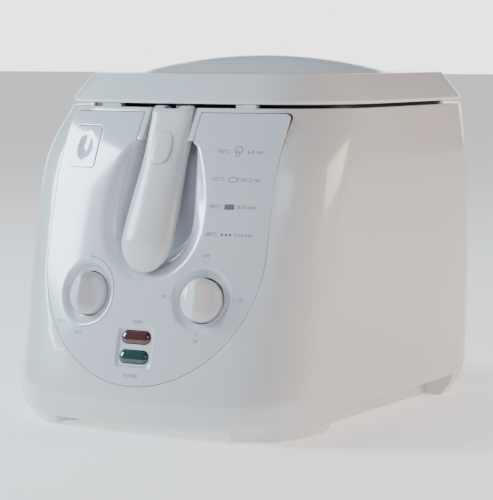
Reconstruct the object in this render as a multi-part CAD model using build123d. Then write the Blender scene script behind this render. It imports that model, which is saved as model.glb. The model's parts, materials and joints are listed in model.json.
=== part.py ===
from build123d import *

import os
from math import cos, radians, sin, sqrt

# Household deep fryer: moulded housing, bowed front panel with two knobs, hinged lid with filters,
# lift-out basket with a folding handle, and a heated aluminium bowl.
# Millimetres. +Z up, front towards -Y, +X to the right of someone facing the front.
# The origin is on the ground, under the middle of the footprint.

# ---- housing ----
WIDTH = 260.0
FRONT_DEPTH = 172.0          # origin to the front, at the housing's lower edge
REAR_DEPTH = 172.0           # origin to the rear, at the bulge
SEAM_Z = 27.4                # where the housing meets the base pan
RIM_Z = 230.4
SHOULDER_Z = 169.5           # the wall starts to turn in here
BULGE_Z = 108.6              # the rear wall is deepest here
FRONT_LEAN = 50.5
FRONT_TURN = 12.0
SIDE_TAPER = 0.6
SIDE_TURN = 3.6
REAR_BULGE = 4.0
FRONT_BOW = 404.0            # plan radii of the bowed walls
SIDE_BOW = 1690.0
REAR_BOW = 900.0
FRONT_CORNER = 57.5          # plan radius of the front corners, at the lower edge
FRONT_CORNER_DROP = 15.0
FRONT_CORNER_FLARE = 31.0
REAR_CORNER = 60.0
WALL = 2.6
DECK = 2.6                   # thickness of the rim's inward shelf

# ---- base pan and feet ----
FOOT_Z = 1.5                 # underside of the moulded feet
PAN_WALL = 3.0
PAN_STEP = 0.6
PAN_TUCK = 13.0              # how far the pan curves in at the ground
PAN_BELLY_Z = 13.0
PAN_BELLY_TUCK = 4.0
FRONT_ARCH_Z = 7.5
FRONT_ARCH_HALF = 73.0
SIDE_ARCH_Z = 19.0
SIDE_ARCH_FROM = -92.0
SIDE_ARCH_TO = 100.0
SIDE_ARCH_X = 100.0
PAN_FLOOR = 3.0
WELL_END_HALF = 66.0         # the pan's deep middle runs out to this width at its two ends
WELL_END_Y = 148.0
PAD_RADIUS = 11.0
PAD_DEEP = 2.5
PAD_INSET = 20.0             # pad centre to the corner's own centre, along the diagonal
SCREW_INSET = 36.0
SCREW_RADIUS = 1.9
SCREW_HEAD_RADIUS = 3.6
SCREW_HEAD = 2.6
BOSS_RADIUS = 5.0
BOSS_TALL = 20.0

# ---- front panel ----
PANEL_HALF = 91.5
PANEL_TOP_Z = 227.0
PANEL_ROUND_Z = 128.0        # centre of the round lower end
PANEL_CORNER = 4.0
PANEL_SKIN = 2.4
PANEL_LIP = 4.0              # flange behind the housing wall
PANEL_GAP = 0.4
NOTCH_HALF = 24.0
NOTCH_Z = 207.0
SLOT_HALF = 19.5
COLLAR_DEEP = 16.0
COLLAR_WALL = 2.5

# ---- finger recess behind the handle ----
# each outline's half width at the round end's centre, at the waist and at the top, then its drop
RECESS_MOUTH = (51.7, 48.7, 40.0, 46.1)
RECESS_THROAT = (29.5, 27.5, 24.0, 37.0)
RECESS_FLOOR = (26.5, 24.6, 22.0, 26.0)
RECESS_TOP_Z = 206.0
RECESS_WAIST_Z = 178.0
RECESS_ROUND_Z = 152.0
RECESS_OUT = 1.0             # the mouth outline stands this far in front of the panel
RECESS_THROAT_DEEP = 8.0     # the gently sloping border ends here
RECESS_DEEP = 25.0
RECESS_WALL = 2.4
RECESS_MID_Z = 160.0

# ---- knobs ----
KNOB_X = 48.0
KNOB_Z = 98.3
KNOB_RADIUS = 15.5
KNOB_PROUD = 9.5
KNOB_SUNK = 8.3
KNOB_GAP = 0.8
RIDGE_HALF = 2.6
SCOOP_RADIUS = 14.0
DISH_RADIUS = 23.5
DISH_DEEP = 5.5
WELL_DEEP = 9.0
WELL_BACK = 12.0
SHAFT_RADIUS = 3.0
SHAFT_BORE_GAP = 0.3
DRIVE_BOX = 32.0
DRIVE_DEEP = 22.0

# ---- pilot lights ----
LENS_LONG = 24.0
LENS_TALL = 9.0
RED_Z = 70.0
GREEN_Z = 56.5
LENS_GAP = 0.3
PILOT_HALF = 14.5
PILOT_MARGIN = 2.2
PILOT_SUNK = 1.6
LAMP_RADIUS = 3.0
LAMP_LONG = 12.0

# ---- lid release button and latch ----
BUTTON_X = -70.2
BUTTON_Z = 201.5
BUTTON_WIDE = 24.4
BUTTON_TALL = 29.4
BUTTON_ROUND = 3.0
BUTTON_GAP = 0.45
BUTTON_PROUD = 0.8
BUTTON_DEEP = 9.0
BUTTON_TRAVEL = 3.0
HOOK_WIDE = 12.0
SPRING_RADIUS = 3.5
HOOK_THICK = 4.0
HOOK_BACK = 10.5             # hook arm behind the front surface, measured at the rim

# ---- basket handle ----
HANDLE_END_Z = 114.5
PIVOT_Z = 223.5
PIVOT_BACK = 6.0             # pivot behind the housing's front surface
BARREL_RADIUS = 8.5
HANDLE_HALF_TOP = 17.0
HANDLE_HALF_WAIST = 18.8
HANDLE_HALF_FOOT = 20.2
HANDLE_THICK_TOP = 9.0       # half thicknesses
HANDLE_THICK = 11.0
PIN_RADIUS = 2.0
PIN_GAP = 0.05
TONGUE_HALF = 6.0
TONGUE_GAP = 0.5
CATCH_Z = 201.0
CATCH_WIDE = 16.0
CATCH_TALL = 27.0
CATCH_PROUD = 1.2

# ---- bowl, heater and basket ----
BOWL_WIDE = 210.0
BOWL_LONG = 220.0
BOWL_Y = 30.0
BOWL_CORNER = 48.0
BOWL_FLOOR_Z = 76.0
BOWL_WALL = 1.6
FLANGE = 6.0
BOWL_GAP = 0.5
SHIELD_GAP = 5.0
SHIELD_WALL = 0.8
HEATER_RADIUS = 72.0
HEATER_TUBE = 3.6
HEATER_PLATE = 5.0
BASKET_GAP = 9.0
BASKET_FLOOR_Z = 96.0
BASKET_TOP_Z = 215.0
BASKET_WALL = 1.6
BASKET_RIM = 4.0
TONGUE_THICK = 3.0

# ---- lid ----
LID_Z = 233.4
LID_LIP = 2.2
LID_SHOULDER_Z = 254.5
LID_BEVEL = 15.0
LID_WALL = 2.5
LID_SLOPE_WALL = 2.0         # the sloping rim, measured level
DOME_TOP_Z = 268.0
DOME_Y = 22.0
DOME_RADIUS = 348.0
FILTER_RX = 80.0
FILTER_RY = 62.0
FILTER_GAP = 0.4
LINER_Z = 240.5
LINER = 2.0
LINER_INSET = 11.0
SEAL_WIDE = 6.0
SEAL_CLEAR = 0.3
REST_X = 57.0

# ---- lid hinge ----
HINGE_Y = 156.0
HINGE_Z = 240.0
HINGE_HALF = 86.0            # half length of the housing's hinge block
HINGE_BLOCK_RADIUS = 8.5
HINGE_BACK = 6.0
KNUCKLE_X = 60.0
KNUCKLE_WIDE = 20.0
KNUCKLE_RADIUS = 6.0
KNUCKLE_GAP = 1.0
LID_REAR_GAP = 9.5           # hinge axis to the lid's cut rear edge
PIN_LONG = 36.0

# ---- lead bush in the rear wall ----
GLAND_RADIUS = 7.0
GLAND_BORE = 4.0
GLAND_X = -52.0
GLAND_Z = 46.0
GLAND_FLANGE = 9.5

FAR = 400.0                  # reach of the cutting tools
MIN_Z = (Align.CENTER, Align.CENTER, Align.MIN)
MAX_Z = (Align.CENTER, Align.CENTER, Align.MAX)


def rise(z):
    """Share of the housing's height: 0 at the seam, 1 at the rim."""
    return (z - SEAM_Z) / (RIM_Z - SEAM_Z)


def turn(z):
    """How far the shoulder has turned in: 0 below it, 1 at the rim."""
    return max(0.0, (z - SHOULDER_Z) / (RIM_Z - SHOULDER_Z)) ** 2


def front_reach(z):
    """Distance from the origin to the front surface on the centre line."""
    return FRONT_DEPTH - FRONT_LEAN * rise(z) - FRONT_TURN * turn(z)


def front_y(x, z):
    """Where the front surface is, between its two corners."""
    return FRONT_BOW - front_reach(z) - sqrt(FRONT_BOW**2 - x**2)


def corner_arc(bow_centre, bow, side_centre, side, radius, way):
    """The corner arc that is tangent to a bowed front or rear and to a bowed side."""
    span = side_centre - bow_centre
    near = bow - radius
    along = (near**2 - (side - radius) ** 2 + span.length**2) / (2 * span.length)
    unit = span.normalized()
    across = Vector(-unit.Y, unit.X) * (way * sqrt(near**2 - along**2))
    centre = bow_centre + unit * along + across
    start = (centre - bow_centre).normalized()
    end = (centre - side_centre).normalized()
    middle = (start + end).normalized()
    return [centre + leg * radius for leg in (start, middle, end)], centre


def front_corner(z, inset=0.0):
    """Points and centre of the right front corner's arc at a height."""
    half = WIDTH / 2 - SIDE_TAPER * rise(z) - SIDE_TURN * turn(z)
    radius = FRONT_CORNER - FRONT_CORNER_DROP * rise(z) + FRONT_CORNER_FLARE * turn(z)
    bow_centre = Vector(0, FRONT_BOW - front_reach(z))
    side_centre = Vector(half - SIDE_BOW, 0)
    return corner_arc(
        bow_centre, FRONT_BOW - inset, side_centre, SIDE_BOW - inset, radius - inset, 1
    )


def rear_corner(z, inset=0.0):
    """Points and centre of the right rear corner's arc at a height."""
    half = WIDTH / 2 - SIDE_TAPER * rise(z) - SIDE_TURN * turn(z)
    rear = REAR_DEPTH - REAR_BULGE * ((z - BULGE_Z) / (BULGE_Z - SEAM_Z)) ** 2
    bow_centre = Vector(0, rear - REAR_BOW)
    side_centre = Vector(half - SIDE_BOW, 0)
    return corner_arc(
        bow_centre, REAR_BOW - inset, side_centre, SIDE_BOW - inset, REAR_CORNER - inset, -1
    )


def plan(z, inset=0.0, at=None):
    """Housing outline at height z, drawn in by inset, as eight tangent arcs lifted to height at."""
    half = WIDTH / 2 - SIDE_TAPER * rise(z) - SIDE_TURN * turn(z) - inset
    rear = REAR_DEPTH - REAR_BULGE * ((z - BULGE_Z) / (BULGE_Z - SEAM_Z)) ** 2 - inset
    front, _ = front_corner(z, inset)
    back, _ = rear_corner(z, inset)
    left_front = [Vector(-p.X, p.Y) for p in front]
    left_back = [Vector(-p.X, p.Y) for p in back]
    edges = [
        ThreePointArc(left_front[0], (0, inset - front_reach(z)), front[0]),
        ThreePointArc(*front),
        ThreePointArc(front[2], (half, 0), back[2]),
        ThreePointArc(back[2], back[1], back[0]),
        ThreePointArc(back[0], (0, rear), left_back[0]),
        ThreePointArc(*left_back),
        ThreePointArc(left_back[2], (-half, 0), left_front[2]),
        ThreePointArc(left_front[2], left_front[1], left_front[0]),
    ]
    return Pos(0, 0, z if at is None else at) * Wire(edges)


def body(inset=0.0, low=SEAM_Z, high=RIM_Z, levels=8):
    """The housing's outer form, drawn in by inset, between two heights."""
    step = (high - low) / (levels - 1)
    return Solid.make_loft([plan(low + step * i, inset) for i in range(levels)])


def tapered(levels):
    """A form through rim-shaped outlines, given as (outline height, inset, height) triples."""
    return Solid.make_loft([plan(z, inset, at) for z, inset, at in levels], ruled=True)


def through_front(face_xz):
    """A tool that carries a front-view outline (x, z) straight through the front half."""
    upright = Plane(origin=(0, -FAR, 0), x_dir=(1, 0, 0), z_dir=(0, -1, 0))
    return extrude(upright * face_xz, amount=-(FAR + BOWL_Y - BOWL_LONG / 2))


def block(x0, x1, y0, y1, z0, z1):
    """A box between two corners."""
    size = Box(x1 - x0, y1 - y0, z1 - z0)
    return Pos((x0 + x1) / 2, (y0 + y1) / 2, (z0 + z1) / 2) * size


def skin(outer_inset, inner_inset):
    """The layer of the housing's form between two insets."""
    return body(outer_inset) - body(inner_inset, SEAM_Z - 1, RIM_Z + 1)


def front_plane(x, z):
    """A plane on the front surface: local +Z points out of the surface, local +Y up along it."""
    slope_x = x / sqrt(FRONT_BOW**2 - x**2)
    slope_z = (front_reach(z - 1) - front_reach(z + 1)) / 2
    return Plane(origin=(x, front_y(x, z), z), x_dir=(1, slope_x, 0), z_dir=(slope_x, -1, slope_z))


def bowl_box(grow, low, high):
    """A round-cornered upright prism, larger than the bowl's outside by grow all round."""
    outline = RectangleRounded(BOWL_WIDE + 2 * grow, BOWL_LONG + 2 * grow, BOWL_CORNER + grow)
    return Pos(0, BOWL_Y, low) * extrude(outline, amount=high - low)


def panel_outline(grow):
    """Front view of the panel: a straight-sided plate with a round lower end."""
    half = PANEL_HALF + grow
    top = PANEL_TOP_Z + grow
    plate = Pos(0, (top + PANEL_ROUND_Z) / 2) * Rectangle(2 * half, top - PANEL_ROUND_Z)
    outline = plate + Pos(0, PANEL_ROUND_Z) * Circle(half)
    upper = outline.vertices().sort_by(Axis.Y)[-2:]
    return fillet(upper, PANEL_CORNER + grow)


def notch_outline(grow):
    """Front view of the notch in the panel's top edge."""
    tall = FAR
    return Pos(0, NOTCH_Z - grow + tall / 2) * Rectangle(2 * (NOTCH_HALF + grow), tall)


def recess_outline(sizes, grow):
    """The finger recess in its own leaning plane: bowed sides and a round lower end."""
    half, waist, top_half, drop = (size + grow for size in sizes)
    top = RECESS_TOP_Z - RECESS_MID_Z + grow
    middle = RECESS_WAIST_Z - RECESS_MID_Z
    low = RECESS_ROUND_Z - RECESS_MID_Z
    edges = [
        ThreePointArc((-top_half, top), (-waist, middle), (-half, low)),
        EllipticalCenterArc((0, low), half, drop, start_angle=180, arc_size=180),
        ThreePointArc((half, low), (waist, middle), (top_half, top)),
        Line((top_half, top), (-top_half, top)),
    ]
    return Wire(edges)


def recess_tool(grow):
    """The hollow behind the handle, grown all round: a sloping border, then a steep throat."""
    plane = front_plane(0, RECESS_MID_Z)
    mouth = plane.offset(RECESS_OUT) * recess_outline(RECESS_MOUTH, grow)
    throat = plane.offset(-RECESS_THROAT_DEEP - grow) * recess_outline(RECESS_THROAT, grow)
    floor = plane.offset(-RECESS_DEEP - grow) * recess_outline(RECESS_FLOOR, grow)
    return Solid.make_loft([floor, throat, mouth], ruled=True)


pieces = {}
PIVOT_Y = front_y(0, PIVOT_Z) + PIVOT_BACK
BOWL_FRONT = BOWL_Y - BOWL_LONG / 2


# ---- housing: one moulding with a rim shelf, a handle slot and a hinge block ----
def outer_housing():
    shell = body() - body(WALL, SEAM_Z - 2, RIM_Z - DECK)
    shell -= bowl_box(BOWL_GAP, RIM_Z - DECK - 1, RIM_Z + 1)
    opening = panel_outline(PANEL_GAP) - notch_outline(-PANEL_GAP)
    shell -= through_front(opening)
    collar = block(
        -SLOT_HALF - COLLAR_WALL, SLOT_HALF + COLLAR_WALL,
        -FRONT_DEPTH, PIVOT_Y + COLLAR_DEEP, NOTCH_Z + PANEL_GAP, RIM_Z - 1,
    )
    shell += collar & body(PANEL_GAP)
    shell -= block(-SLOT_HALF, SLOT_HALF, -FAR, BOWL_FRONT + 1, NOTCH_Z - 1, RIM_Z + 1)
    hook_y = hook_centre_y()
    hook_half = HOOK_WIDE / 2 + 2
    shell -= block(
        BUTTON_X - hook_half, BUTTON_X + hook_half,
        hook_y - HOOK_THICK, hook_y + HOOK_THICK + BUTTON_TRAVEL, RIM_Z - DECK - 1, RIM_Z + 1,
    )
    shell += hinge_block()
    for x, y in screw_places():
        post = Pos(x, y, SEAM_Z) * Cylinder(BOSS_RADIUS, BOSS_TALL, align=MIN_Z)
        web = rib(x, y)
        shell += (post + web) & body(WALL / 2)
        shell -= Pos(x, y, SEAM_Z - 1) * Cylinder(SCREW_RADIUS + 0.1, BOSS_TALL - 2, align=MIN_Z)
    gland = gland_place()
    shell -= gland * Cylinder(GLAND_RADIUS + 0.2, 40)
    return shell


def gland_place():
    """Where the mains lead's bush sits in the rear wall: local +Z points out of the rear."""
    rear = REAR_DEPTH - REAR_BULGE * ((GLAND_Z - BULGE_Z) / (BULGE_Z - SEAM_Z)) ** 2
    sagitta = REAR_BOW - sqrt(REAR_BOW**2 - GLAND_X**2)
    origin = (GLAND_X, rear - sagitta, GLAND_Z)
    slope_x = GLAND_X / REAR_BOW
    slope_z = 2 * REAR_BULGE * (GLAND_Z - BULGE_Z) / (BULGE_Z - SEAM_Z) ** 2
    return Plane(origin=origin, x_dir=(-1, slope_x, 0), z_dir=(slope_x, 1, slope_z)).location


def corner_centres():
    """Plan centres of the four corners at the seam, with the diagonal pointing out of each."""
    _, front = front_corner(SEAM_Z)
    _, rear = rear_corner(SEAM_Z)
    diagonal = sqrt(0.5)
    return [
        (side * centre.X, centre.Y, side * diagonal, way * diagonal)
        for centre, way in ((front, -1), (rear, 1))
        for side in (-1, 1)
    ]


def pad_places():
    return [(x + PAD_INSET * u, y + PAD_INSET * v) for x, y, u, v in corner_centres()]


def screw_places():
    return [(x + SCREW_INSET * u, y + SCREW_INSET * v) for x, y, u, v in corner_centres()]


def rib(x, y):
    """A web that joins a screw post to the housing wall behind it."""
    angle = 45 if x * y > 0 else -45
    web = Box(60, 3, BOSS_TALL, align=MIN_Z)
    toward = 1 if x > 0 else -1
    return Pos(x, y, SEAM_Z) * Rot(0, 0, angle) * Pos(toward * 30, 0, 0) * web


def hinge_block():
    """The raised rear block that carries the lid's hinge pins, slotted for the two knuckles."""
    length = 2 * HINGE_HALF
    round_top = Pos(0, HINGE_Y, HINGE_Z) * Rot(0, 90, 0) * Cylinder(HINGE_BLOCK_RADIUS, length)
    foot = block(
        -HINGE_HALF, HINGE_HALF, HINGE_Y - HINGE_BLOCK_RADIUS, HINGE_Y + HINGE_BACK, RIM_Z, HINGE_Z
    )
    solid = round_top + foot
    solid &= block(-HINGE_HALF, HINGE_HALF, 0, HINGE_Y + HINGE_BACK, RIM_Z, FAR)
    half = KNUCKLE_WIDE / 2 + KNUCKLE_GAP
    for side in (-1, 1):
        x = side * KNUCKLE_X
        solid -= block(x - half, x + half, 0, FAR, RIM_Z + 1, FAR)
        solid -= Pos(x, HINGE_Y, HINGE_Z) * Rot(0, 90, 0) * Cylinder(PIN_RADIUS + 0.02, PIN_LONG)
    return solid


# ---- base pan: a shallow tray on four broad moulded feet ----
def base_pan():
    outer = tapered([
        (SEAM_Z, PAN_TUCK, FOOT_Z),
        (SEAM_Z, PAN_BELLY_TUCK, PAN_BELLY_Z),
        (SEAM_Z, PAN_STEP, SEAM_Z),
    ])
    side_floor = SIDE_ARCH_Z + PAN_FLOOR
    outer -= Pos(0, 0, side_floor) * extrude(Face(plan(SEAM_Z, PAN_BELLY_TUCK + PAN_WALL, 0)), FAR)
    well_x = SIDE_ARCH_X - PAN_WALL
    outer -= block(
        -well_x, well_x, SIDE_ARCH_FROM, SIDE_ARCH_TO, FRONT_ARCH_Z + PAN_FLOOR, FAR
    )
    outer -= block(
        -WELL_END_HALF, WELL_END_HALF, -WELL_END_Y, WELL_END_Y, FRONT_ARCH_Z + PAN_FLOOR, FAR
    )
    outer -= block(-FRONT_ARCH_HALF, FRONT_ARCH_HALF, -FAR, FAR, -1, FRONT_ARCH_Z)
    outer -= block(SIDE_ARCH_X, FAR, SIDE_ARCH_FROM, SIDE_ARCH_TO, -1, SIDE_ARCH_Z)
    outer -= block(-FAR, -SIDE_ARCH_X, SIDE_ARCH_FROM, SIDE_ARCH_TO, -1, SIDE_ARCH_Z)
    for x, y in pad_places():
        outer -= Pos(x, y, 0) * Cylinder(PAD_RADIUS + 0.2, FOOT_Z + PAD_DEEP, align=MIN_Z)
    head_seat = side_floor - PAN_FLOOR
    for x, y in screw_places():
        outer -= Pos(x, y, -1) * Cylinder(SCREW_HEAD_RADIUS + 0.4, head_seat + 1, align=MIN_Z)
        outer -= Pos(x, y, 0) * Cylinder(SCREW_RADIUS + 0.2, FAR, align=MIN_Z)
    return outer


def foot_pads():
    pad = fillet(Cylinder(PAD_RADIUS, FOOT_Z + PAD_DEEP, align=MIN_Z).edges().sort_by(Axis.Z)[0], 0.6)
    return [Pos(x, y, 0) * pad for x, y in pad_places()]


def base_screws():
    head_seat = SIDE_ARCH_Z
    post_floor = SEAM_Z - head_seat + BOSS_TALL - 6
    head = Cylinder(SCREW_HEAD_RADIUS, SCREW_HEAD, align=MAX_Z) - Box(5, 0.9, 2.4)
    head -= Pos(0, 0, -SCREW_HEAD) * (Box(4.6, 1, 1.6) + Box(1, 4.6, 1.6))
    screw = head + Cylinder(SCREW_RADIUS, post_floor, align=MIN_Z)
    return [Pos(x, y, head_seat) * screw for x, y in screw_places()]


# ---- front panel: clipped in from inside, with the recess, the knob wells and the pilot pocket ----
def knob_place(side):
    return front_plane(side * KNOB_X, KNOB_Z).location


def pill(x, z, long, tall):
    """Front-view outline of a round-ended lens."""
    return Pos(x, z) * SlotOverall(long, tall)


def pilot_outline(grow):
    low = GREEN_Z - LENS_TALL / 2 - PILOT_MARGIN
    high = RED_Z + LENS_TALL / 2 + PILOT_MARGIN
    wide = 2 * (PILOT_HALF + grow)
    return Pos(0, (low + high) / 2) * RectangleRounded(wide, high - low + 2 * grow, 3 + grow)


def button_outline(grow):
    wide = BUTTON_WIDE + 2 * grow
    tall = BUTTON_TALL + 2 * grow
    return Pos(BUTTON_X, BUTTON_Z) * RectangleRounded(wide, tall, BUTTON_ROUND + grow)


def control_panel():
    plate = through_front(panel_outline(0) - notch_outline(PANEL_GAP)) & skin(0, WALL)
    lip_shape = panel_outline(PANEL_LIP) - notch_outline(PANEL_GAP)
    clear = WALL + 0.1
    under_deck = block(-FAR, FAR, -FAR, FAR, 0, RIM_Z - DECK - PANEL_GAP)
    lip = through_front(lip_shape) & skin(clear, clear + PANEL_SKIN) & under_deck
    neck = through_front(panel_outline(0) - notch_outline(PANEL_GAP)) & skin(WALL - 0.5, clear + 0.5)
    panel = plate + neck + lip
    deepest = clear + PANEL_SKIN
    cup = recess_tool(RECESS_WALL) & body(WALL)
    below_collar = through_front(Pos(0, NOTCH_Z - FAR / 2) * Rectangle(FAR, FAR))
    panel += cup & below_collar
    panel += through_front(pilot_outline(2)) & skin(WALL, deepest + 1)
    for side in (-1, 1):
        boss = Cylinder(DISH_RADIUS + 2, WELL_BACK, align=MAX_Z)
        panel += (knob_place(side) * boss) & body(1.0)
    panel -= recess_tool(0)
    channel = front_plane(0, RECESS_MID_Z)
    channel_box = Box(2 * SLOT_HALF, 100, 60, align=(Align.CENTER, Align.MIN, Align.MAX))
    panel -= channel.offset(30).location * Pos(0, 22, 0) * channel_box & below_collar
    panel -= through_front(pilot_outline(0)) & skin(-2, PILOT_SUNK)
    for z in (RED_Z, GREEN_Z):
        panel -= through_front(pill(0, z, LENS_LONG + 2 * LENS_GAP, LENS_TALL + 2 * LENS_GAP))
    panel -= through_front(button_outline(BUTTON_GAP))
    for side in (-1, 1):
        top_radius = DISH_RADIUS + (DISH_RADIUS - KNOB_RADIUS - KNOB_GAP) * 0.5
        dish = Cone(KNOB_RADIUS + KNOB_GAP + 1, top_radius, DISH_DEEP * 1.5, align=MIN_Z)
        tool = Pos(0, 0, -DISH_DEEP) * dish
        tool += Pos(0, 0, -WELL_DEEP) * Cylinder(KNOB_RADIUS + KNOB_GAP, WELL_DEEP, align=MIN_Z)
        tool += Cylinder(SHAFT_RADIUS + SHAFT_BORE_GAP, 60)
        panel -= knob_place(side) * tool
    return panel


# ---- knobs, their shafts, and what they turn ----
def knob(side):
    disc = Cylinder(KNOB_RADIUS, KNOB_SUNK + KNOB_PROUD, align=MIN_Z)
    disc = fillet(disc.edges().sort_by(Axis.Z)[-1], 2.5)
    form = Pos(0, 0, -KNOB_SUNK) * disc
    scoop_z = SCOOP_RADIUS + 0.5
    for hand in (-1, 1):
        x = hand * (RIDGE_HALF + SCOOP_RADIUS - 0.6)
        form -= Pos(x, 0, scoop_z) * Rot(90, 0, 0) * Cylinder(SCOOP_RADIUS, 80)
    form -= Pos(0, 0, -KNOB_SUNK - 1) * Cylinder(SHAFT_RADIUS + PIN_GAP, KNOB_SUNK + 3, align=MIN_Z)
    return knob_place(side) * form


def knob_shaft(side):
    long = 30.0
    shaft = Pos(0, 0, 1.5) * Cylinder(SHAFT_RADIUS, long, align=MAX_Z)
    return knob_place(side) * shaft


def drive_case(side):
    """The thermostat or the timer: a case behind the panel, with a bush that bears on it."""
    case = Box(DRIVE_BOX, DRIVE_BOX - 2, DRIVE_DEEP, align=MAX_Z)
    case = Pos(0, 0, -WELL_BACK - 3) * fillet(case.edges().filter_by(Axis.Z), 2)
    bush = Pos(0, 0, -WELL_BACK) * Cylinder(6, 4, align=MAX_Z)
    form = case + bush - Cylinder(SHAFT_RADIUS + PIN_GAP, 62)
    return knob_place(side) * form


# ---- pilot lights ----
def lens(z):
    return through_front(pill(0, z, LENS_LONG, LENS_TALL)) & skin(-0.4, 6.5)


def neon_lamps():
    lamps = []
    for z in (RED_Z, GREEN_Z):
        y = front_y(0, z) + 8
        glass = fillet(Cylinder(LAMP_RADIUS, LAMP_LONG).edges(), 1.2)
        lamps.append(Pos(0, y + LAMP_LONG / 2, z) * Rot(90, 0, 0) * glass)
    return lamps


def lamp_holder():
    """A clip plate behind the pilot pocket, bored for the two lamps."""
    y = front_y(0, GREEN_Z) + 8
    low = GREEN_Z - 10
    high = RED_Z + 10
    plate = block(-PILOT_HALF, PILOT_HALF, y + 6, y + 16, low, high)
    for z in (RED_Z, GREEN_Z):
        plate -= Pos(0, y, z) * Rot(90, 0, 0) * Cylinder(LAMP_RADIUS + 0.1, 90)
    return plate


# ---- lid release ----
def hook_centre_y():
    return front_y(BUTTON_X, RIM_Z) + HOOK_BACK


def lid_release_button():
    return through_front(button_outline(0)) & skin(-BUTTON_PROUD, BUTTON_DEEP - 1)


def latch_hook():
    """An arm from the button up through the rim shelf, with its nose beside the lid's catch."""
    y = hook_centre_y()
    half = HOOK_WIDE / 2
    button_back = front_y(BUTTON_X, BUTTON_Z) + BUTTON_DEEP - 3
    foot = block(BUTTON_X - half, BUTTON_X + half, button_back, y + HOOK_THICK / 2,
                 BUTTON_Z - 5, BUTTON_Z - 1)
    foot -= lid_release_button()
    arm = block(BUTTON_X - half, BUTTON_X + half, y - HOOK_THICK / 2, y + HOOK_THICK / 2,
                BUTTON_Z - 5, LINER_Z - 1)
    return foot + arm


def release_spring():
    """The coil on the button's back, as the sleeve it fills, at its length with the button pressed."""
    z = BUTTON_Z - 9
    y = front_y(BUTTON_X, z + SPRING_RADIUS) + BUTTON_DEEP
    long = BOWL_FRONT - SHIELD_GAP - BUTTON_TRAVEL - PIN_GAP - y
    ring = Cylinder(SPRING_RADIUS, long, align=MIN_Z) - Cylinder(SPRING_RADIUS - 0.8, long, align=MIN_Z)
    return Pos(BUTTON_X, y, z) * Rot(-90, 0, 0) * ring


# ---- basket handle: two shells on a pivot, with a release catch ----
def handle_form():
    stations = [
        (HANDLE_END_Z, 7.0, 4.0),
        (HANDLE_END_Z + 1.5, 10.5, 5.8),
        (HANDLE_END_Z + 4.5, 14.6, 8.0),
        (HANDLE_END_Z + 9.5, 17.9, 9.8),
        (HANDLE_END_Z + 16.0, 19.6, HANDLE_THICK - 0.4),
        (HANDLE_END_Z + 25.0, HANDLE_HALF_FOOT, HANDLE_THICK),
        (152.0, 19.6, HANDLE_THICK - 0.2),
        (167.0, HANDLE_HALF_WAIST, HANDLE_THICK - 0.6),
        (188.0, 17.9, HANDLE_THICK - 1.2),
        (208.0, HANDLE_HALF_TOP + 0.3, HANDLE_THICK_TOP),
    ]
    rings = [
        Pos(0, front_y(0, z), z) * Wire(Ellipse(half, thick).edges()) for z, half, thick in stations
    ]
    top = Wire(Ellipse(HANDLE_HALF_TOP, BARREL_RADIUS - 0.2).edges())
    rings.append(Pos(0, PIVOT_Y, PIVOT_Z) * top)
    grip = Solid.make_loft(rings, ruled=True)
    barrel = Cylinder(BARREL_RADIUS, 2 * HANDLE_HALF_TOP)
    barrel = fillet(barrel.edges(), 1.5)
    return grip + Pos(0, PIVOT_Y, PIVOT_Z) * Rot(0, 90, 0) * barrel


def behind_parting():
    """Everything behind the parting surface between the handle's two shells, below its barrel."""
    return body() & block(-FAR, FAR, -FAR, FAR, 0, PIVOT_Z - BARREL_RADIUS - 3)


def catch_outline(grow):
    return Pos(0, CATCH_Z) * Ellipse(CATCH_WIDE / 2 + grow, CATCH_TALL / 2 + grow)


def handle_shells():
    form = handle_form()
    slot = TONGUE_HALF + TONGUE_GAP
    form -= block(-slot, slot, PIVOT_Y - BARREL_RADIUS + 3, FAR, PIVOT_Z - 13, FAR)
    form -= Pos(0, PIVOT_Y, PIVOT_Z) * Rot(0, 90, 0) * Cylinder(PIN_RADIUS + 0.02, 30)
    behind = behind_parting()
    pocket_back = front_y(0, CATCH_Z) + 3
    form -= through_front(catch_outline(0.4)) & block(-FAR, FAR, -FAR, pocket_back, 0, FAR)
    return form - behind, form & behind


def handle_catch():
    y0 = front_y(0, CATCH_Z) - HANDLE_THICK
    plate = through_front(catch_outline(0)) & block(-FAR, FAR, y0 - 6, y0 + 9, 0, FAR)
    dome = Pos(0, y0 + 34 - CATCH_PROUD, CATCH_Z - 4) * Rot(-18, 0, 0) * Cylinder(
        34, CATCH_WIDE * 2, rotation=(0, 90, 0)
    )
    return plate & dome


def handle_pivot_pin():
    long = 2 * HANDLE_HALF_TOP - 6
    return Pos(0, PIVOT_Y, PIVOT_Z) * Rot(0, 90, 0) * Cylinder(PIN_RADIUS, long)


# ---- bowl and heater ----
def oil_bowl():
    top = RIM_Z + BOWL_WALL
    bowl = bowl_box(0, BOWL_FLOOR_Z, top) + bowl_box(FLANGE, RIM_Z, top)
    foot = bowl.edges().group_by(Axis.Z)[0]
    bowl = fillet(foot, 14)
    hollow = bowl_box(-BOWL_WALL, BOWL_FLOOR_Z + BOWL_WALL, top + 1)
    return bowl - fillet(hollow.edges().group_by(Axis.Z)[0], 14 - BOWL_WALL)


def heat_shield():
    low = BOWL_FLOOR_Z - 16
    high = RIM_Z - DECK - 1
    outer = bowl_box(SHIELD_GAP, low, high)
    shield = outer - bowl_box(SHIELD_GAP - SHIELD_WALL, low + SHIELD_WALL, high + 1)
    shield -= Pos(0, BOWL_Y, low - 1) * Cylinder(HEATER_RADIUS / 2, 4, align=MIN_Z)
    return shield


def heater_plate():
    disc = Cylinder(HEATER_RADIUS + 12, HEATER_PLATE, align=MAX_Z)
    return Pos(0, BOWL_Y, BOWL_FLOOR_Z) * disc


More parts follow.
